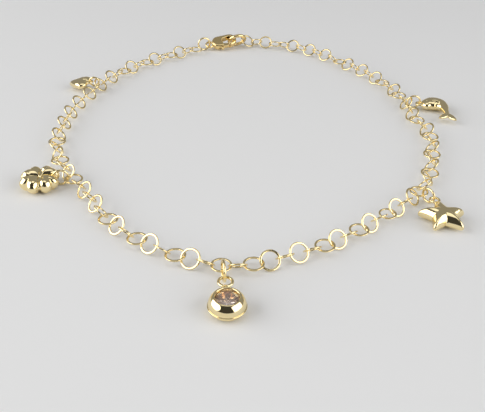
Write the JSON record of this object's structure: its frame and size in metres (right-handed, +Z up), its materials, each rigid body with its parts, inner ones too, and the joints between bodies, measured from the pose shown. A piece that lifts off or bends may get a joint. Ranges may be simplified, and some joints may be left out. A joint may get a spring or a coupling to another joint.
{
  "type": "charm anklet",
  "caption": "Cable-link chain closed into a loop by a lever claw clasp, hung with puffed dolphin, star, clover and heart charms and a round stone-set drop; lies flat.",
  "frame": {"origin": "the middle of the whole anklet's box, on the surface that it lies on", "axes": "+Z up from the surface, +Y from the round drop towards the clasp, +X towards the star and the dolphin"},
  "size_m": [0.0812, 0.1022, 0.0039],
  "materials": {
    "gold_wire": "polished",
    "gold_charm": "mirror polished",
    "gold_clasp": "polished",
    "stone": "faceted and clear"
  },
  "bodies": {
    "anklet": {"chain": "gold_wire", "end_jump_ring": "gold_wire", "clasp_jump_ring": "gold_wire", "drop_jump_ring": "gold_wire", "star_jump_ring": "gold_wire", "clover_jump_ring": "gold_wire", "dolphin_jump_ring": "gold_wire", "heart_jump_ring": "gold_wire", "star_charm": "gold_charm", "dolphin_charm": "gold_charm", "heart_charm": "gold_charm", "clover_charm": "gold_charm", "drop_setting": "gold_charm", "clasp_body": "gold_clasp", "end_ring": "gold_clasp", "drop_stone": "stone"},
    "clasp_lever": {"clasp_lever": "gold_clasp"}
  },
  "joints": [
    {"name": "clasp_lever_hinge", "type": "hinge", "parent": "anklet", "child": "clasp_lever", "pos_m": [-0.00904, 0.04632, 0.00114], "axis": [0.0289, -0.4509, 0.8921], "range_deg": [0, 18], "stiffness_Nm_per_rad": 0.00005}
  ]
}
